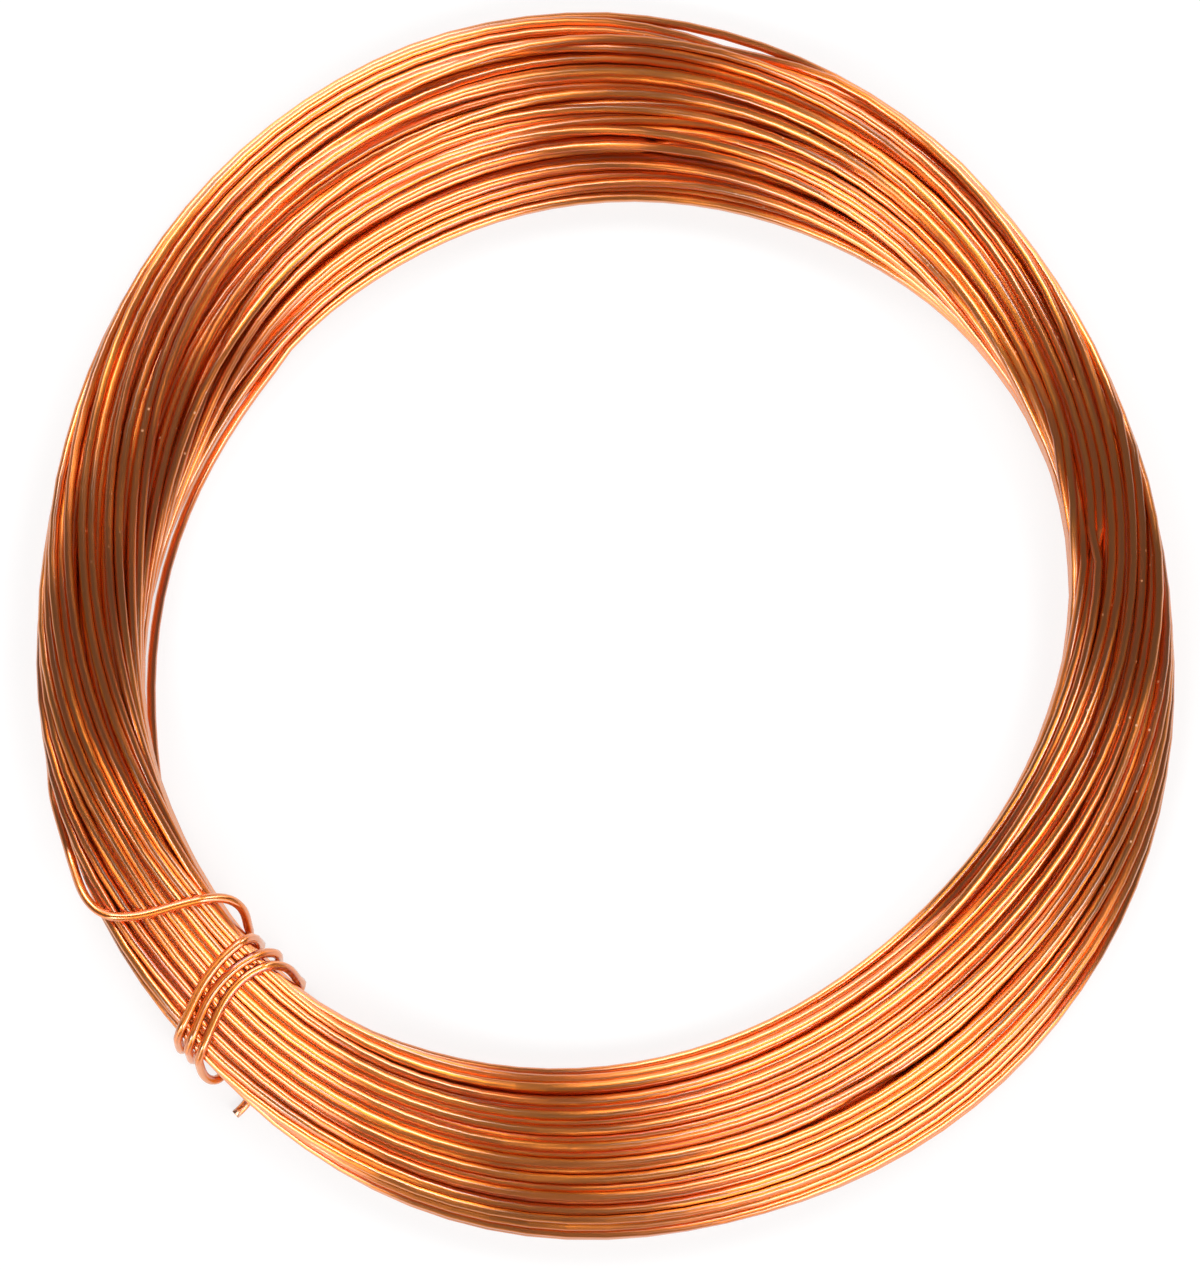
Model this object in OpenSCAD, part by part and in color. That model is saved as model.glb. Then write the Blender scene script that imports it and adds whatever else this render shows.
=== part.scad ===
// Hank of soft copper wire: one length of round wire wound into a ring of many turns, lifted
// off its former so that the layers have slid sideways over each other, and tied with the
// wire's own outer end. It lies flat, with +Z up and its origin at the middle of its base.

/* [Wire] */
// Diameter of the copper wire
wire_d = 1; // [0.8:0.05:1.2]

/* [Winding] */
// Outside diameter of one layer of turns
layer_d = 120; // [96:1:144]
// Turns lying side by side in one layer
turns_across = 9; // [6:1:12]
// Layers of turns, one on another
layers = 10; // [7:1:12]
// Gap between neighbouring turns of a layer
turn_gap = 0.18; // [0.1:0.02:0.3]
// Distance that the top layer has slid over the bottom layer
lean = 9.5; // [4:0.5:12]
// Direction of that slide, anticlockwise from +X
lean_angle = 105; // [90:5:120]

/* [Tie] */
// Times that the wire's end is wrapped round the bundle
wraps = 3; // [1:1:4]
// Direction of the first wrap from the middle of the coil
tie_angle = 225; // [215:1:235]
// Distance along the bundle from one wrap to the next
wrap_pitch = 2; // [1.3:0.1:3]
// Distance along the bundle that a wrap gains as it crosses the top
wrap_skew = 1.6; // [0:0.1:3]
// Distance that the end stands out where it leaves the coil and where it turns at the eye
slack = 1.8; // [0.5:0.1:3]
// Gap between the end and the first wrap where both turn under the bundle
lead_gap = 0.5; // [0.4:0.05:1]
// Length of the cut end that shows past the last wrap
tail = 2.2; // [1:0.1:4]

/* [Hidden] */
$fn = 96;
copper = [0.78, 0.36, 0.12];
wire_r = wire_d / 2;
outer_r = layer_d / 2;
turn_pitch = wire_d + turn_gap;
layer_w = (turns_across - 1) * turn_pitch + wire_d;
inner_r = outer_r - layer_w;
// A turn nests in the valley between the two turns below it
layer_pitch = sqrt(pow(wire_d, 2) - pow(turn_pitch / 2, 2));
coil_h = (layers - 1) * layer_pitch + wire_d;
// Eight flats stand for the round of the wire, which keeps every face a plane or a cone
flat = wire_d * tan(22.5);
// Depth that the tie's wire beds into the turns it presses on
bite = 0.1 * wire_d;
// The knuckles at the tie's bends are a little thicker than its straight runs
knuckle_r = 1.06 * wire_r;
tie_r_out = outer_r + wire_r - bite;
tie_r_in = inner_r - wire_r + bite;
tie_top = coil_h + wire_r - bite;
tie_foot = knuckle_r + 0.1 * wire_d;
top = layers - 1;

// Centre of a layer, counted from 0 at the base
function layer_centre(i) = lean * (i / (layers - 1) - 0.5) * [cos(lean_angle), sin(lean_angle)];

// Point at a radius and direction from the centre of a layer
function around(i, r, a, z) = [layer_centre(i)[0] + r * cos(a), layer_centre(i)[1] + r * sin(a), z];

// Angle that an arc length covers at the middle of the bundle
function arc_angle(length) = length / (outer_r - layer_w / 2) * 180 / PI;

// Angle that an arc length covers at the eye, where the wire turns under the bundle
function eye_angle(length) = length / tie_r_in * 180 / PI;

// Section of one layer: straight across the turns, with the half-octagon of a turn at each end
module layer_section() {
    x0 = inner_r;
    x1 = outer_r;
    side = (wire_d - flat) / 2;
    polygon([
        [x0, side], [x0 + side, 0], [x1 - side, 0], [x1, side],
        [x1, wire_d - side], [x1 - side, wire_d], [x0 + side, wire_d], [x0, wire_d - side],
    ]);
}

// The valleys between turns, cut into one face of a layer
module turn_valleys(face_z, up) {
    half = (turn_pitch - flat) / 2;
    for (k = [1 : turns_across - 1]) {
        x = inner_r + wire_r + (k - 0.5) * turn_pitch;
        polygon([[x - half, face_z], [x, face_z - up * half], [x + half, face_z], [x, face_z + up * half]]);
    }
}

// One layer of turns. The base and the top layer show their turns as grooved faces.
module layer(i) {
    c = layer_centre(i);
    translate([c[0], c[1], i * layer_pitch]) rotate_extrude() difference() {
        layer_section();
        if (i == 0) turn_valleys(0, -1);
        if (i == top) turn_valleys(wire_d, 1);
    }
}

// Straight run of wire between two points
module run(a, b) {
    v = b - a;
    length = norm(v);
    translate(a) rotate([0, acos(v[2] / length), atan2(v[1], v[0])]) cylinder(r = wire_r, h = length);
}

// Wire that follows a list of points, with a knuckle at each bend
module bent_wire(points) {
    for (k = [1 : len(points) - 1]) run(points[k - 1], points[k]);
    for (p = points) translate(p) sphere(r = knuckle_r);
}

// Wire's end leaving the outermost turn, crossing the top and turning down in the eye
module lead_over() {
    a = tie_angle;
    a_foot = a - arc_angle(wrap_skew) - eye_angle(wire_d + lead_gap);
    bent_wire([
        around(top, outer_r - wire_r, a - 24, tie_top - wire_d),
        around(top, outer_r + slack, a - 18, tie_top - 0.5 * wire_d),
        around(top, outer_r - wire_r, a - 14, tie_top),
        around(top, inner_r + wire_r, a - 9, tie_top),
        around(top, inner_r - slack, a - 6, tie_top - wire_d),
        around(0, tie_r_in, a_foot, tie_foot),
    ]);
}

// One wrap: up the outside, across the top and down into the eye. Its run below is in the base.
module wrap(k) {
    a_out = tie_angle + arc_angle(k * wrap_pitch);
    a_in = a_out - arc_angle(wrap_skew);
    bent_wire([
        around(0, tie_r_out, a_out, tie_foot),
        around(top, tie_r_out, a_out, tie_top),
        around(top, tie_r_in, a_in, tie_top),
        around(0, tie_r_in, a_in, tie_foot),
    ]);
}

// Cut end of the wire, coming out from under the bundle
module cut_end() {
    a = tie_angle + arc_angle((wraps + 0.6) * wrap_pitch);
    run(around(0, outer_r - 2 * wire_d, a, tie_foot), around(0, outer_r + tail, a + 1, tie_foot));
}

module wire_coil() {
    color(copper) {
        for (i = [0 : top]) layer(i);
        lead_over();
        for (k = [0 : wraps - 1]) wrap(k);
        cut_end();
    }
}

wire_coil();
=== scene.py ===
# %% [markdown]
# # A hank of soft copper wire
# The object is one length of round copper wire, wound into a ring of about ninety turns, slipped
# off its former and tied with its own outer end. The imported model gives its size and its place.
# This lesson lays the real wire inside that shape, turn by turn, and gives it its finish.
# The imported model is loaded first, and its box is read and printed.

# %% Load the imported model
import math

import bpy
import numpy as np
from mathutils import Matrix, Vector


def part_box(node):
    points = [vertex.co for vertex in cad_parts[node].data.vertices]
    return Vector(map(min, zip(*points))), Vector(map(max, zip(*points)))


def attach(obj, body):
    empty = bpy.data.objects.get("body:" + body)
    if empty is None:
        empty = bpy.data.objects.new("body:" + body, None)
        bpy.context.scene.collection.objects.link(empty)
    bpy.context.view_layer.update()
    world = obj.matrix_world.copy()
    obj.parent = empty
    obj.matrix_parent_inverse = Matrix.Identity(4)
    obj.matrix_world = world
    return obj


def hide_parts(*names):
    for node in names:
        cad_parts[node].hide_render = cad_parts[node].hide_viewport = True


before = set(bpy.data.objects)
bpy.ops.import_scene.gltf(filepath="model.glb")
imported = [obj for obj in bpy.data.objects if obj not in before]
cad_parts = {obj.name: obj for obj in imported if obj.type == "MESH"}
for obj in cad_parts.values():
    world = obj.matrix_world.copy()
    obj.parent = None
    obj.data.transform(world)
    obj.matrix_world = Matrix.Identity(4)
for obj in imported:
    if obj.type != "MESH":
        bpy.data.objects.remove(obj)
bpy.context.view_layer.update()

MM = 0.001
coil_low, coil_high = (np.array(corner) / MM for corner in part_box("wire_coil"))
print("coil from", coil_low.round(2), "to", coil_high.round(2), "mm")

# %% [markdown]
# ## Camera
# The hank lies flat and is seen from straight above. A long lens flattens it: the top of the
# bundle is only a little nearer than its base, so the near and far turns keep almost one scale.
# How much of the object the view takes in, from top to bottom, sets how far away the camera
# stands.

# %% Camera straight above
scene = bpy.context.scene
VIEW_HIGH = 133.684              # millimetres that the view takes in, from top to bottom
MID_HEIGHT = 4.5                 # the height above the floor at which it does
LENS, SENSOR = 200.0, 36.0
SIGHT_X, SIGHT_Y = -0.74, -0.89  # the point under the camera
lens_away = VIEW_HIGH * LENS / SENSOR + MID_HEIGHT
camera_data = bpy.data.cameras.new("camera")
camera_data.lens, camera_data.sensor_width = LENS, SENSOR
camera = bpy.data.objects.new("camera", camera_data)
camera.location = Vector((SIGHT_X, SIGHT_Y, lens_away)) * MM
scene.collection.objects.link(camera)
scene.camera = camera
print("camera stands", round(lens_away), "mm above the floor")

# %% [markdown]
# ## The shape of the winding
# The turns lie in rings round the core of the bundle, six in the first ring, twelve in the next
# and so on, as the strands of a cable do. Off its former the hank is no longer a true circle: a
# short list gives the eye's edge and the outside of the bundle at a few directions. Where those
# are far apart the bundle lies flat, and where they are close together it stands tall.
# The bundle has also rolled over, by three eighths of a turn on the right and back again on the
# left, so that the turns which lie on top run from the eye to the outside and back.

# %% Sizes of the winding, in millimetres and degrees
WIRE = 1.0
SNUG = 0.975 * WIRE              # pressed together, the enamel gives a little
RINGS = 5
TURNS = 3 * RINGS * (RINGS + 1)
STATIONS = 96                    # points in one turn
START = 285.0                    # direction of the inner end, anticlockwise from +X
END = 200.5                      # direction where the last turn lifts off to make the tie
# Direction, then the distance from the middle to the eye's edge and to the outside
EDGES = (
    (0, 48.6, 59.3), (20, 49.7, 58.6), (40, 48.7, 59.5), (60, 46.3, 62.6), (80, 45.1, 64.4),
    (100, 44.3, 65.4), (120, 43.6, 64.2), (150, 44.6, 61.3), (170, 47.0, 59.4),
    (190, 49.6, 60.4), (210, 49.8, 61.3), (230, 50.3, 62.2), (245, 48.6, 64.4),
    (260, 47.2, 65.5), (280, 45.3, 64.1), (310, 44.0, 64.1), (340, 46.0, 61.9),
)
SECTION = 23.0                   # half the width of the bundle times half its height
TALLEST = 8.8                    # height of the middle of the highest turns
CORNERS_FROM, CORNERS_BY = 7.0, 5.0  # half widths between which a narrow bundle fills its corners
ROLL = 135.0                     # degrees that the far side has rolled over
ROLL_OUT = (-50, 72)             # the turns on top run outward between these directions
ROLL_IN = (130, 226)             # and back to the eye between these
MEAN_RING = 54.5                 # distance of the bundle's core from the middle, on average
print(TURNS, "turns, about", round(TURNS * 2 * math.pi * MEAN_RING * MM, 1), "m")


# %% Helpers for directions
def cosd(degrees):
    return np.cos(np.radians(degrees))


def ease(x):
    """Rises from 0 to 1 with a soft start and a soft end."""
    x = np.clip(x, 0, 1)
    return x * x * (3 - 2 * x)


def apart(a, b):
    """Degrees between two directions."""
    return np.abs((a - b + 180) % 360 - 180)


def bump(azimuth, centre, width):
    """1 in one direction, fading to 0 at a width to either side."""
    return ease(1 - apart(azimuth, centre) / width)


def plateau(azimuth, centre, width, fade):
    """1 within a width of one direction, fading to 0 over a few degrees outside it."""
    return ease(1 - (apart(azimuth, centre) - width) / fade)


def round_the_ring(azimuth, directions, values):
    """Values at any direction, from values at a few, with the corners rounded off."""
    turned = [np.interp(azimuth + d, directions, values, period=360) for d in (-8, -4, 0, 4, 8)]
    return sum(turned) / len(turned)


print("halfway down its side a bump is", round(float(bump(4, 0, 8)), 2), "high")

# %% [markdown]
# ## Where each turn lies
# Every turn has a home in a ring of the bundle and steps over to the next home at one place in
# the turn, as wire does when it is wound by hand. The homes are rolled with the bundle, then
# stretched to its width and height there. A slow sideways wander, different in each turn, keeps
# the turns from looking ruled. The tie holds the bundle in one place: there nothing wanders, the
# floor is one wire higher, and the top is pressed down.

# %% Homes in the section of the bundle
RING_STARTS = 60.0               # direction of the first home of each ring, in the section
ring_of = np.repeat(np.arange(1, RINGS + 1), 6 * np.arange(1, RINGS + 1))
place_of = np.concatenate([np.arange(6 * ring) for ring in range(1, RINGS + 1)])
way_of = np.radians(RING_STARTS + 60 * place_of / ring_of)
slots = np.stack([np.cos(way_of), np.sin(way_of)], axis=1) * ring_of[:, None] / RINGS
slots = np.concatenate([slots, slots[-1:]])
print(len(slots) - 1, "homes in", RINGS, "rings")

# %% Each turn steps over to its next home
rng = np.random.default_rng(7)
EYE_TURN, OUTSIDE_TURN = 80, 66  # turns at the eye's edge and at the outside of the far half
LOOSE_STEP_AT = 213              # these two step over here, where the tie's end crosses the top
FIRST_STEP, LAST_STEP = 0.06, 0.74   # share of a turn: the others step anywhere but by the tie
STEP_LONG = 0.1                  # share of a turn that a step takes
count = TURNS * STATIONS
index = np.arange(count)
turn, share = index // STATIONS, (index % STATIONS) / STATIONS
azimuth = START + 360 * index / STATIONS
step_at = rng.uniform(FIRST_STEP, LAST_STEP, TURNS)
step_at[[EYE_TURN, OUTSIDE_TURN]] = (LOOSE_STEP_AT - START) % 360 / 360
step = ease((share - step_at[turn]) / STEP_LONG + 0.5)
out, up = (slots[turn] + (slots[turn + 1] - slots[turn]) * step[:, None]).T
print("line of", count, "points,", STATIONS, "in a turn")

# %% Stretch the section to the bundle's width and height
# How often each wander swings in a turn, and how far it carries, in millimetres
WANDERS = ((0.37, 0.16), (1.3, 0.12), (2.3, 0.07))
# By the tie: the direction, degrees to either side, and degrees over which it fades
GRIPPED, LIFTED, PRESSED = (223, 9, 21), (225, 11, 11), (220, 14, 14)
PRESSED_TOP = 7.95               # height of the middle of the highest turns below the tie


def wander(cycles, size):
    """A slow sideways drift along the wire, different in each turn."""
    strength = rng.standard_normal(TURNS + 1)
    blend = ease(share)
    wave = np.sin(2 * np.pi * cycles * index / STATIONS + rng.uniform(0, 2 * np.pi))
    return size * wave * (strength[turn] * (1 - blend) + strength[turn + 1] * blend)


def rolled_by(azimuth):
    """How far the bundle has rolled over, in radians."""
    west = (azimuth + 90) % 360 - 90
    outward, inward = (ease((west - a) / (b - a)) for a, b in (ROLL_OUT, ROLL_IN))
    return np.radians(ROLL) * (inward - outward)


drift = sum(wander(cycles, size) for cycles, size in WANDERS)
grip = plateau(azimuth, *GRIPPED)
floor_z = WIRE / 2 + WIRE * plateau(azimuth, *LIFTED)
ceiling_z = TALLEST - (TALLEST - PRESSED_TOP) * plateau(azimuth, *PRESSED)
edge_at, eye_edge, outer_edge = np.array(EDGES).T
eye_wall = round_the_ring(azimuth, edge_at, eye_edge) + WIRE / 2
outer_wall = round_the_ring(azimuth, edge_at, outer_edge) - WIRE / 2
half_wide = (outer_wall - eye_wall) / 2
half_high = np.minimum(SECTION / half_wide, (ceiling_z - floor_z) / 2)
roll = rolled_by(azimuth)
out, up = out * np.cos(roll) - up * np.sin(roll), out * np.sin(roll) + up * np.cos(roll)
boxed = ease((CORNERS_FROM - half_wide) / (CORNERS_FROM - CORNERS_BY))
fill = 1 + boxed * (np.hypot(out, up) / np.maximum(np.abs(out), np.abs(up)) - 1)
home_r = (eye_wall + outer_wall) / 2 + half_wide * out * fill + drift * (1 - grip)
home_z = floor_z + half_high * (1 + up * fill)
narrowest, widest = (round(float(2 * half + WIRE), 1) for half in (half_wide.min(), half_wide.max()))
print("bundle is", narrowest, "to", widest, "mm wide")

# %% [markdown]
# ## Two turns that stand loose
# One turn has kept a smaller ring, so it shows on its own in the eye before it goes under the
# bundle. Another leaves a slit at the outside of the bundle, where the rest lie further in.

# %% Loose turns
EYE_RING = 50.3                  # radius of the ring that the loose turn has kept
RING_OFF, OFF_FROM = 7.25, 110   # how far that ring has slid, away from this direction
LEAVES, FREE_BY = 138, 150       # directions between which the turn leaves the bundle
RETURNS, BACK_BY = 195, 245      # and between which it goes back under it
EYE_ROOM = 4.0                   # how far inside the eye's edge it may lie
SLIT_AT, SLIT_HALF, SLIT_DEEP = 77.5, 8, 1.9   # the slit's direction, half its length, its depth
own_ring = EYE_RING - RING_OFF * cosd(azimuth - OFF_FROM)
way = azimuth % 360
leaving, returning = (way - LEAVES) / (FREE_BY - LEAVES), (BACK_BY - way) / (BACK_BY - RETURNS)
loose = ease(leaving) * ease(returning) * (turn == EYE_TURN)
home_r = home_r + (own_ring - home_r) * loose
home_z = home_z + (floor_z - home_z) * loose
eye_wall = eye_wall - EYE_ROOM * loose
outer_wall = outer_wall - SLIT_DEEP * bump(azimuth, SLIT_AT, SLIT_HALF) * (turn != OUTSIDE_TURN)
home_r = np.clip(home_r, eye_wall, outer_wall)
lift_off = count - round((START - END) / 360 * STATIONS)
present = index < lift_off            # past its lift-off the last turn is the tie
grid = (TURNS, STATIONS)
home_r, home_z, azimuth, present = (a.reshape(grid) for a in (home_r, home_z, azimuth, present))
floor_z, ceiling_z = floor_z.reshape(grid), ceiling_z.reshape(grid)
eye_wall, outer_wall = eye_wall.reshape(grid), outer_wall.reshape(grid)
print("homes from", home_r.min().round(2), "to", home_r.max().round(2), "mm from the middle")

# %% [markdown]
# ## Let the turns settle
# Homes alone would let turns run through each other wherever they change places. So the bundle
# is settled as it would be by hand: the turns sink, wires that lie in each other are moved
# apart in every section, the bends stay smooth, and nothing goes below the floor. Between two
# sections nothing is tested, so a few turns low in the bundle still pass through each other.

# %% Helpers for settling
def held_in(r, z):
    """Keeps turns between the walls, the floor and the ceiling."""
    return np.clip(r, eye_wall, outer_wall), np.clip(z, floor_z, ceiling_z)


def smoothed(values, amount, passes=1):
    """Moves each value along the whole wire towards the middle of its two neighbours."""
    line = values.reshape(-1)
    for _ in range(passes):
        ends = np.concatenate([[2 * line[0] - line[1]], line, [2 * line[-1] - line[-2]]])
        line = line + amount * ((ends[:-2] + ends[2:]) / 2 - line)
    return line.reshape(grid)


def part_turns(r, z, gain):
    """Moves turns that lie in each other apart, in every section of the bundle."""
    dr, dz = r[:, None] - r[None], z[:, None] - z[None]
    square = dr * dr + dz * dz
    close = (square < SNUG**2) & (square > 0) & present[:, None] & present[None]
    away = np.sqrt(np.where(close, square, 1.0))
    push = np.where(close, gain / 2 * (SNUG - away) / away, 0.0)
    return r + (push * dr).sum(1), z + (push * dz).sum(1)


print("turns nearer than", SNUG, "mm are moved apart")

# %% Settling
SETTLE, FIRM = 120, 70           # rounds in which the turns find their place, then only part
UNTOUCHED = 10                   # last rounds, with no smoothing
SINK = 0.012                     # millimetres that the turns sink in the first round
BACK_OUT, BACK_UP = 0.06, 0.03   # shares of the way home, sideways and up, made good in a round
PARTING = 0.55                   # share of an overlap that one push takes away
SMOOTHING, LAST_SMOOTHING = 0.35, 0.1
r, z = home_r.copy(), home_z.copy()
for k in range(SETTLE + FIRM):
    if k < SETTLE:
        z -= SINK * (1 - k / SETTLE)
        r += BACK_OUT * (home_r - r)
        z += BACK_UP * (home_z - z)
    for _ in range(2):
        r, z = held_in(*part_turns(r, z, PARTING))
    if k < SETTLE:
        r = home_r + smoothed(r - home_r, SMOOTHING, 2)
        z = home_z + smoothed(z - home_z, SMOOTHING, 2)
        r, z = held_in(r, z)
    elif k < SETTLE + FIRM - UNTOUCHED:
        r, z = smoothed(r, LAST_SMOOTHING), smoothed(z, LAST_SMOOTHING)
print("bundle is", round(float(z.max() + WIRE / 2), 2), "mm high")

# %% The turns as one line
def on_ring(r, azimuth, z):
    """The point at a distance from the middle, a direction and a height."""
    angle = np.radians(azimuth)
    return np.stack([r * np.cos(angle), r * np.sin(angle), z], axis=-1)


turns_line = on_ring(r, azimuth, z).reshape(-1, 3)[:lift_off]
print("turns end", turns_line[-1].round(2), "mm")

# %% [markdown]
# ## The tie
# The outer end leaves the bundle in a loose loop, crosses over the top, turns down in the eye and
# is then wrapped three times round the bundle, each time under it and back over the top. A wire
# bent by hand round a bundle has no simple formula. So each crossing of the top is a list of
# points, and straight passes below join them. The line is then drawn tight: it is
# smoothed like stiff wire while the bundle, the floor and its own other passes hold it off.

# %% Crossings of the top, listed point by point
# Each point is a distance from the middle, a direction and a height
LEAD = (
    (60.8, 202.4, 4.6), (61.3, 203.8, 5.5), (61.6, 205.1, 6.4), (61.8, 206.6, 7.2),
    (61.8, 208.0, 7.8), (61.2, 209.7, 8.2), (59.6, 210.8, 8.7), (58.2, 211.6, 8.9),
    (56.7, 212.1, 8.9), (53.6, 212.9, 8.9), (50.6, 214.1, 8.8), (49.3, 214.8, 8.5),
    (48.4, 215.8, 7.9), (48.1, 217.1, 7.0), (48.4, 218.4, 5.8), (48.9, 219.4, 4.4),
    (49.7, 220.1, 3.0), (50.6, 220.7, 1.6),
)
WRAPS = (
    (
        (63.6, 225.2, 2.6), (63.3, 224.7, 4.8), (62.5, 224.0, 7.2), (61.0, 223.3, 8.6),
        (59.5, 222.7, 8.9), (57.8, 221.9, 8.9), (56.0, 221.2, 8.9), (54.3, 220.9, 8.9),
        (52.7, 220.6, 8.9), (51.3, 220.6, 8.8), (50.1, 220.7, 8.4), (49.3, 221.0, 7.4),
        (49.2, 221.7, 5.8), (49.5, 222.2, 4.0), (50.3, 222.5, 1.8),
    ),
    (
        (63.6, 226.6, 2.4), (63.3, 226.2, 4.4), (62.4, 225.6, 7.0), (60.6, 224.6, 8.6),
        (58.8, 223.6, 8.9), (57.4, 222.9, 8.9), (56.0, 222.7, 8.9), (54.4, 222.5, 8.9),
        (52.9, 222.4, 8.9), (51.5, 222.6, 8.9), (50.2, 223.0, 8.6), (49.0, 223.8, 7.8),
        (48.6, 224.8, 6.2), (48.9, 225.3, 4.2), (49.8, 225.5, 1.8),
    ),
    (
        (63.2, 230.0, 1.0), (63.8, 229.3, 1.6), (63.9, 228.5, 2.8), (63.4, 227.6, 5.0),
        (62.4, 226.8, 7.4), (60.8, 226.1, 8.6), (59.2, 225.5, 8.9), (57.8, 224.9, 8.8),
        (56.5, 224.4, 8.9), (55.0, 224.0, 8.9), (53.5, 223.9, 8.9), (52.0, 224.0, 8.9),
        (50.7, 224.4, 8.8), (49.6, 225.2, 8.4), (48.9, 226.2, 7.6), (48.9, 227.6, 6.0),
        (49.6, 228.7, 4.0), (50.5, 229.4, 1.6),
    ),
)
BELOW = WIRE / 2                 # height of the runs along the floor
CUT_END = ((62.6, 233.2, BELOW), (63.3, 233.3, BELOW), (64.2, 233.1, 0.6), (64.9, 232.7, 0.8))
print("tie crosses the top", 1 + len(WRAPS), "times")

# %% Join the crossings below the bundle
UNDER_FROM, UNDER_TO = 50.6, 62.2    # a run under the bundle, from the eye outward
EYE_GAIN, OUTSIDE_GAIN = 0.6, 0.5    # degrees gained where the run starts and where it ends
SHARED = 8                       # last points of the turns, which the tie's own line takes over
TIE_SPACING = 0.45


def on_rings(rows):
    """Points from rows that each hold a distance from the middle, a direction and a height."""
    out, way, height = np.array(rows).T
    return on_ring(out, way, height).tolist()


def under(last, following):
    """A run under the bundle, straight along the floor."""
    inner = (UNDER_FROM, last[1] + EYE_GAIN, BELOW)
    outer = (UNDER_TO, following[1] - OUTSIDE_GAIN, BELOW)
    a, b = on_rings([inner, outer])
    return [[p + (q - p) * t for p, q in zip(a, b)] for t in (0, 0.33, 0.67, 1)]


route = turns_line[-SHARED::2].tolist() + on_rings(LEAD)
before = LEAD[-1]
for rows in WRAPS:
    route += under(before, rows[0]) + on_rings(rows)
    before = rows[-1]
route += under(before, CUT_END[0]) + on_rings(CUT_END)


def spaced(points, spacing):
    """Points at an even spacing along the line through a list of points."""
    points = np.array(points)
    far = np.concatenate([[0], np.cumsum(np.linalg.norm(np.diff(points, axis=0), axis=1))])
    wanted = np.linspace(0, far[-1], round(far[-1] / spacing) + 1)
    return np.stack([np.interp(wanted, far, points[:, k]) for k in range(3)], axis=1)


tie_line = spaced(route, TIE_SPACING)
print("tie has", len(tie_line), "points before it is drawn tight")

# %% Helpers for drawing the tie tight
SAME_STRETCH = 6                 # points no further apart along the tie are one stretch of it
LEAST = 0.05                     # keeps a push from growing without end where two points meet


def turns_at(way):
    """Distance out and height of every turn where rays from the middle cut the bundle."""
    at = ((way - START) % 360) / 360 * STATIONS
    low = np.floor(at).astype(int) % STATIONS
    part = (at - np.floor(at))[:, None]
    past = (low == STATIONS - 1)[:, None]
    high = (low + 1) % STATIONS
    found = []
    for values in (r, z):
        following = np.where(past, np.roll(values, -1, 0).T[high], values.T[high])
        found.append(values.T[low] * (1 - part) + following * part)
    return found[0][:, :-1], found[1][:, :-1]   # all but the last turn, which is the tie's own


def off_bundle(line, gain):
    """Moves points of the tie out of the turns of the bundle."""
    way = np.degrees(np.arctan2(line[:, 1], line[:, 0]))
    out = np.hypot(line[:, 0], line[:, 1])
    turn_r, turn_z = turns_at(way)
    dr, dz = out[:, None] - turn_r, line[:, 2:] - turn_z
    away = np.hypot(dr, dz)
    push = np.where(away < WIRE, gain * (WIRE - away) / np.maximum(away, LEAST), 0)
    return on_ring(out + (push * dr).sum(1), way, line[:, 2] + (push * dz).sum(1))


def off_itself(line, gain):
    """Moves passes of the tie that lie in each other apart."""
    delta = line[:, None] - line[None]
    away = np.linalg.norm(delta, axis=2)
    number = np.arange(len(line))
    close = (np.abs(number[:, None] - number[None]) > SAME_STRETCH) & (away < WIRE)
    push = np.where(close, gain * (WIRE - away) / np.maximum(away, LEAST), 0)
    return line + (push[..., None] * delta).sum(1)


def bent_smooth(line, amount):
    """Stiff wire spreads a bend out, so each point moves towards the middle of its neighbours."""
    middle = (line[:-2] + line[2:]) / 2 - line[1:-1]
    line = line.copy()
    line[1:-1] += amount * middle
    return line


print("tie is held off the turns and off itself by", WIRE, "mm")

# %% Draw the tie tight
FIXED = 3                        # first points, which stay on the last turn
TIGHTEN, HOLD_OFF = 260, 120     # rounds of drawing tight, then of little but holding off
BENDING, LAST_BENDING = 0.22, 0.1
TO_ROUTE = 0.07                  # share of the way back to its route, made good in a round
OFF_TURNS, OFF_TIE = 0.5, 0.35   # shares of an overlap that one push takes away
wanted_line = tie_line.copy()
for k in range(TIGHTEN + HOLD_OFF):
    tight = k < TIGHTEN
    tie_line = bent_smooth(tie_line, BENDING if tight else LAST_BENDING)
    if tight:
        tie_line += TO_ROUTE * (wanted_line - tie_line)
    tie_line = off_itself(off_bundle(tie_line, OFF_TURNS), OFF_TIE)
    tie_line[:, 2] = np.maximum(tie_line[:, 2], BELOW)
    tie_line[:FIXED] = wanted_line[:FIXED]
print("tie's top is", round(float(tie_line[:, 2].max() + WIRE / 2), 2), "mm high")

# %% [markdown]
# ## The wire as a tube
# Turns and tie are one line, so the wire is one tube with no joints, as the real piece is. Its
# rings are turned as little as possible from one to the next, so nothing twists. Two values go
# with every point, for the finish to use: the place round the wire and the distance along it,
# and how near the point is to a cut end. The flat map has one row for each turn and one for the
# tie, which keeps every part of the finish at one scale.

# %% One line, and the rings round it
SIDES = 10
CUT_REACH = 0.8                  # how far the marked stretch at each end reaches
path = np.concatenate([turns_line[:-SHARED], tie_line])
ring_count, tie_from = len(path), len(turns_line) - SHARED
steps = np.linalg.norm(np.diff(path, axis=0), axis=1)
far = np.concatenate([[0], np.cumsum(steps)])
wire_length = float(far[-1])
print("wire is", round(wire_length * MM, 2), "m long, with", ring_count, "rings")


def rings_round(line):
    """Side and up directions of a ring at each point, each turned as little as it can be."""
    along = np.gradient(line, axis=0)
    along /= np.linalg.norm(along, axis=1, keepdims=True)
    up = np.zeros_like(line)
    v = np.array([0.0, 0.0, 1.0])
    for k, t in enumerate(along):
        v = v - t * (v @ t)
        v = v / math.sqrt(v @ v)
        up[k] = v
    return np.cross(along, up), up


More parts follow.
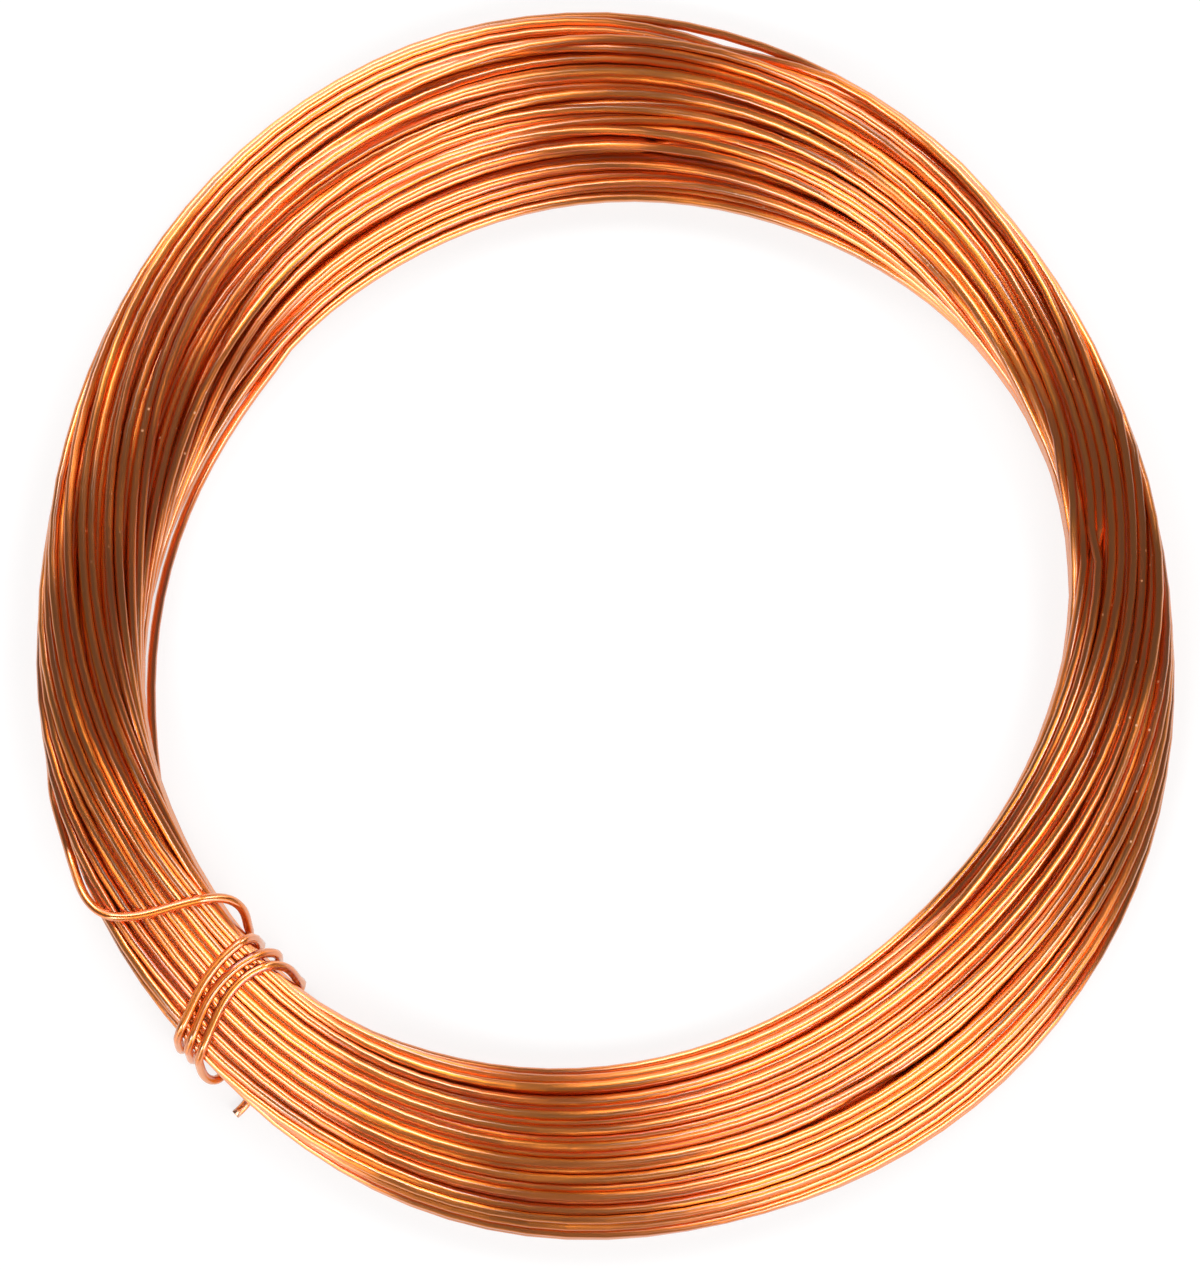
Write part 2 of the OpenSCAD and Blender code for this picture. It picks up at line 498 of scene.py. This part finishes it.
side, up = rings_round(path)
angle = 2 * np.pi * np.arange(SIDES) / SIDES
c, s = np.cos(angle), np.sin(angle)
pinch = np.ones((ring_count, 2))
pinch[-4:] = ((0.98, 1), (1.02, 0.84), (1.06, 0.58), (1.02, 0.26))  # the cutters' bite
rings = path[:, None] + WIRE / 2 * (
    side[:, None] * (c[:, None] * pinch[:, None, :1]) + up[:, None] * (s[:, None] * pinch[:, None, 1:])
)

# %% Mesh of the wire
def wire_mesh(name, rings):
    """A closed tube through the rings, with a flat face on each end."""
    number = np.arange(ring_count * SIDES).reshape(ring_count, SIDES)
    a, b = number[:-1], number[1:]
    quads = np.stack([a, np.roll(a, -1, 1), np.roll(b, -1, 1), b], -1).reshape(-1, 4)
    caps = [number[0, ::-1].tolist(), number[-1].tolist()]
    mesh = bpy.data.meshes.new(name)
    mesh.from_pydata((rings.reshape(-1, 3) * MM).tolist(), [], quads.tolist() + caps)
    mesh.shade_smooth()
    return mesh


def add_values(mesh, name, kind, field, values):
    """One value for each point of the mesh, which the finish reads by name."""
    layer = mesh.attributes.new(name, kind, "POINT")
    layer.data.foreach_set(field, np.asarray(values, np.float32).reshape(-1))


mesh = wire_mesh("copper_wire", rings)
whole = np.ones((ring_count, SIDES))
drawn = np.stack([c * whole, s * whole, far[:, None] * whole], axis=-1)
add_values(mesh, "drawn", "FLOAT_VECTOR", "vector", drawn)
from_end = np.minimum(far, wire_length - far)[:, None] * whole
add_values(mesh, "cut", "FLOAT", "value", np.clip(1 - from_end / CUT_REACH, 0, 1))
print("mesh has", sum(len(face.vertices) - 2 for face in mesh.polygons), "triangles")

# %% Flat map, one row for each turn and one for the tie
ROWS = TURNS + 1
ROW, EDGE = 1 / ROWS, 0.0006     # height of a row, and the empty strip along its edges
MARGIN = 0.01                    # empty share at both ends of a row
LONGEST = 2 * math.pi * 62       # a row's scale: every turn is shorter than this
CAP_SIZE, CAPS_AT = 0.004, (0.9, 0.95)   # the two end faces, in the free end of the tie's row
place = np.arange(ring_count - 1)
row = np.where(place < tie_from, place // STATIONS, TURNS)
start_far = far[np.where(place < tie_from, row * STATIONS, tie_from)]
u0, u1 = ((far[place + n] - start_far) / LONGEST * (1 - 2 * MARGIN) + MARGIN for n in (0, 1))
v = row[:, None] * ROW + EDGE + np.arange(SIDES + 1) / SIDES * (ROW - 2 * EDGE)
u0, u1 = (np.repeat(u[:, None], SIDES, 1) for u in (u0, u1))
corners = np.stack([
    np.stack([u0, v[:, :-1]], -1), np.stack([u0, v[:, 1:]], -1),
    np.stack([u1, v[:, 1:]], -1), np.stack([u1, v[:, :-1]], -1),
], axis=2).reshape(-1, 2)
cap = np.stack([CAP_SIZE * c, CAP_SIZE * s], -1)
caps = np.concatenate([cap[::-1] + (CAPS_AT[0], 1 - ROW / 2), cap + (CAPS_AT[1], 1 - ROW / 2)])
flat_map = mesh.uv_layers.new(name="OFBake")
flat_map.data.foreach_set("uv", np.concatenate([corners, caps]).astype(np.float32).reshape(-1))
print("flat map has", ROWS, "rows, and its longest run is", round(float(u1.max()), 3), "wide")

# %% [markdown]
# The wire is one piece, fixed to the root. It lies wound up, both its ends are
# bare, and it stands for the imported coil, which is hidden.

# %% The wire as a piece
wire = bpy.data.objects.new("copper_wire", mesh)
scene.collection.objects.link(wire)
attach(wire, "root")
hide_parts("wire_coil")
print("declared", wire.name, "as a cord")

# %% [markdown]
# ## Copper
# Soft drawn copper is bright and orange, and deep orange where it sees only more copper. A thin
# clear enamel covers it, so it has two shines: a broad coloured one from the metal, and a thin
# pale one from the enamel over it. The die leaves fine lines along the wire, handling leaves dull
# stretches and a little dust, and only the cut ends are bare. The fine lines also spread the
# metal's shine across the wire. The shader does that with a grain, which runs round the hank
# unless it is told otherwise, and which a quarter turn sets across the turns.

# %% A helper for shader expressions
class Wired:
    """A shader socket that works in Python expressions, each of which adds its nodes."""

    def __init__(self, tree, socket=None):
        self.tree, self.socket = tree, socket

    def node(self, kind, settings=None, sockets=None, output=0):
        """Adds a node with its settings and sockets, and gives back one of its outputs."""
        made = self.tree.nodes.new(kind)
        for name, value in (settings or {}).items():
            setattr(made, name, value)
        for name, value in (sockets or {}).items():
            if isinstance(value, Wired):
                self.tree.links.new(value.socket, made.inputs[name])
            else:
                made.inputs[name].default_value = value
        return Wired(self.tree, made.outputs[output] if len(made.outputs) else None)

    def sum(self, operation, a, b):
        return self.node("ShaderNodeMath", {"operation": operation}, {0: a, 1: b})

    def __add__(self, other): return self.sum("ADD", self, other)
    def __radd__(self, other): return self.sum("ADD", other, self)
    def __sub__(self, other): return self.sum("SUBTRACT", self, other)
    def __rsub__(self, other): return self.sum("SUBTRACT", other, self)
    def __mul__(self, other): return self.sum("MULTIPLY", self, other)
    def __rmul__(self, other): return self.sum("MULTIPLY", other, self)

    def between(self, low, high):
        """0 below low and 1 above high, with a soft slope between them."""
        return self.node("ShaderNodeMapRange", {"interpolation_type": "SMOOTHSTEP"},
                         {"Value": self, "From Min": low, "From Max": high})

    def mixed(self, a, b):
        """The colour a where this is 0, and b where it is 1."""
        return self.node("ShaderNodeMix", {"data_type": "RGBA"}, {0: self, 6: a, 7: b}, output=2)


def new_material(name):
    """An empty material, and a start from which its nodes are added."""
    material = bpy.data.materials.new(name)
    material.use_nodes = True
    material.node_tree.nodes.clear()
    return material, Wired(material.node_tree)


print("sockets can be added, subtracted, multiplied and mixed")

# %% Patterns on the copper
copper, start = new_material("enamelled copper")
on_wire = start.node("ShaderNodeAttribute", {"attribute_name": "drawn"}, output=1)
at_cut = start.node("ShaderNodeAttribute", {"attribute_name": "cut"}, output=2)
in_room = start.node("ShaderNodeTexCoord", output=3)


def along_wire(across, along, detail):
    """Noise drawn out along the wire: its scale round the wire, and for each millimetre along it."""
    stretched = start.node("ShaderNodeVectorMath", {"operation": "MULTIPLY"},
                           {0: on_wire, 1: (across, across, along)})
    return start.node("ShaderNodeTexNoise", None,
                      {"Vector": stretched, "Scale": 1.0, "Detail": detail})


die_lines = along_wire(across=3.2, along=0.12, detail=3)
handled = along_wire(across=0.5, along=0.035, detail=2).between(0.45, 0.7)
tone = along_wire(across=0.3, along=0.011, detail=1).between(0.35, 0.65)
waves = along_wire(across=0.1, along=0.035, detail=1)
bare = at_cut.between(0.2, 0.5)
specks = start.node("ShaderNodeTexVoronoi", {"feature": "F1"},
                    {"Vector": in_room, "Scale": 620, "Randomness": 1.0})
patchy = start.node("ShaderNodeTexNoise", None, {"Vector": in_room, "Scale": 22, "Detail": 2})
dust = (1 - specks.between(0.05, 0.11)) * patchy.between(0.5, 0.68)
print("patterns use", len(copper.node_tree.nodes), "nodes")

# %% Copper finish
BRIGHT = (0.94, 0.265, 0.03, 1)
DEEP = (0.90, 0.215, 0.024, 1)
BARE = (0.93, 0.50, 0.33, 1)
DUST = (0.85, 0.45, 0.25, 1)
# Roughness of clean drawn metal, and what handling, the die's lines and dust add to it
CLEAN, DULLED, LINED, DUSTY = 0.27, 0.06, 0.05, 0.3
DUST_COVERS = 0.85               # share of the metal that a speck of dust hides
WAVE_DEEP, LINE_DEEP = 2.5, 0.05     # millimetres that the slow waves and the die's lines reach
colour = bare.mixed(dust.mixed(tone.mixed(BRIGHT, DEEP), DUST), BARE)
rough = CLEAN + DULLED * handled + LINED * die_lines + DUSTY * dust
waved = start.node("ShaderNodeBump", None,
                   {"Height": waves, "Strength": 1.0, "Distance": WAVE_DEEP * MM})
lined = start.node("ShaderNodeBump", None,
                   {"Height": die_lines, "Strength": 0.06, "Distance": LINE_DEEP * MM, "Normal": waved})
shader = start.node("ShaderNodeBsdfPrincipled", {"distribution": "GGX"}, {
    "Base Color": colour, "Metallic": 1 - DUST_COVERS * dust, "Roughness": rough,
    "Specular Tint": (1.0, 0.85, 0.55, 1), "Anisotropic": 0.9, "Anisotropic Rotation": 0.25,
    "Coat Weight": 1 - bare, "Coat Roughness": 0.1, "Coat IOR": 2.0,
    "Normal": lined,
})
start.node("ShaderNodeOutputMaterial", None, {"Surface": shader})
mesh.materials.append(copper)
print("copper has", len(copper.node_tree.nodes), "nodes")

# %% [markdown]
# ## Floor and light
# The hank lies on a plain white sheet, with a bank of soft lights off each of its corners, so the
# turns shine where they run across a light and fall dark where they run along one. That is what
# makes wound wire look round. Each bank has a small bright light, for the thin shine of the
# enamel, and a broad one round it for the metal. The sheet shows white to the camera and in the
# metal, and keeps a faint shadow.

# %% Floor
FLOOR_HALF = 1.5                 # metres
SHADOW_SHARE = 0.25              # how much of the coil's shadow the sheet keeps
floor_mesh = bpy.data.meshes.new("floor")
square = [(-1, -1), (1, -1), (1, 1), (-1, 1)]
floor_mesh.from_pydata([(x * FLOOR_HALF, y * FLOOR_HALF, 0) for x, y in square], [], [range(4)])
floor = bpy.data.objects.new("floor", floor_mesh)
scene.collection.objects.link(floor)
paper, start = new_material("white sheet")
seen_by = {name: start.node("ShaderNodeLightPath", output=n)
           for name, n in (("camera", 0), ("glossy", 3), ("transmission", 6))}
plain = start.node("ShaderNodeBsdfDiffuse", None, {"Color": (0.9, 0.9, 0.9, 1)})
white = start.node("ShaderNodeEmission", None, {"Color": (1, 1, 1, 1), "Strength": 1.0})
seen = seen_by["camera"] + seen_by["glossy"] + seen_by["transmission"]
sheet = start.node("ShaderNodeMixShader", None, {0: seen * (1 - SHADOW_SHARE), 1: plain, 2: white})
start.node("ShaderNodeOutputMaterial", None, {"Surface": sheet})
floor_mesh.materials.append(paper)
print("floor is", 2 * FLOOR_HALF, "m square")

# %% Lights
def soft_light(name, way, height, away, wide, tall, power):
    """A rectangular light that faces the middle of the coil."""
    data = bpy.data.lights.new(name, "AREA")
    data.shape, data.size, data.size_y = "RECTANGLE", wide, tall
    data.energy = power
    lamp = bpy.data.objects.new(name, data)
    a, e = math.radians(way), math.radians(height)
    toward = Vector((math.cos(a) * math.cos(e), math.sin(a) * math.cos(e), math.sin(e)))
    lamp.location = toward * away
    lamp.rotation_mode = "QUATERNION"
    lamp.rotation_quaternion = toward.to_track_quat("Z", "Y")
    scene.collection.objects.link(lamp)


AWAY = 0.9                       # metres to each light
# The direction of each bank, and how its width compares with the tier's
BANKS = (
    ("north_east", 52, 1),
    ("north_west", 118, 1.2),
    ("south_west", 233, 1),
    ("south_east", 304, 1.2),
)
# Each tier's angle above the floor, half its height and half its width, in degrees, and its
# brightness, where the white of the sheet is 1
TIERS = (("bright", 49, 8, 15, 6.2), ("broad", 34, 29, 16.5, 1.95))
ROOM = 0.12                      # brightness of the room all round
for bank, way, width in BANKS:
    for tier, height, half_tall, half_wide, glow in TIERS:
        wide = 2 * AWAY * math.cos(math.radians(height)) * math.tan(math.radians(half_wide * width))
        tall = 2 * AWAY * math.tan(math.radians(half_tall))
        soft_light(f"{bank}_{tier}", way, height, AWAY, wide, tall, glow * math.pi * wide * tall)
world = bpy.data.worlds.new("studio")
world.use_nodes = True
studio = world.node_tree.nodes["Background"]
studio.inputs["Color"].default_value = (1, 1, 1, 1)
studio.inputs["Strength"].default_value = ROOM
scene.world = world
scene.view_settings.view_transform = "Standard"
print(len(BANKS) * len(TIERS), "lights,", AWAY, "m away")
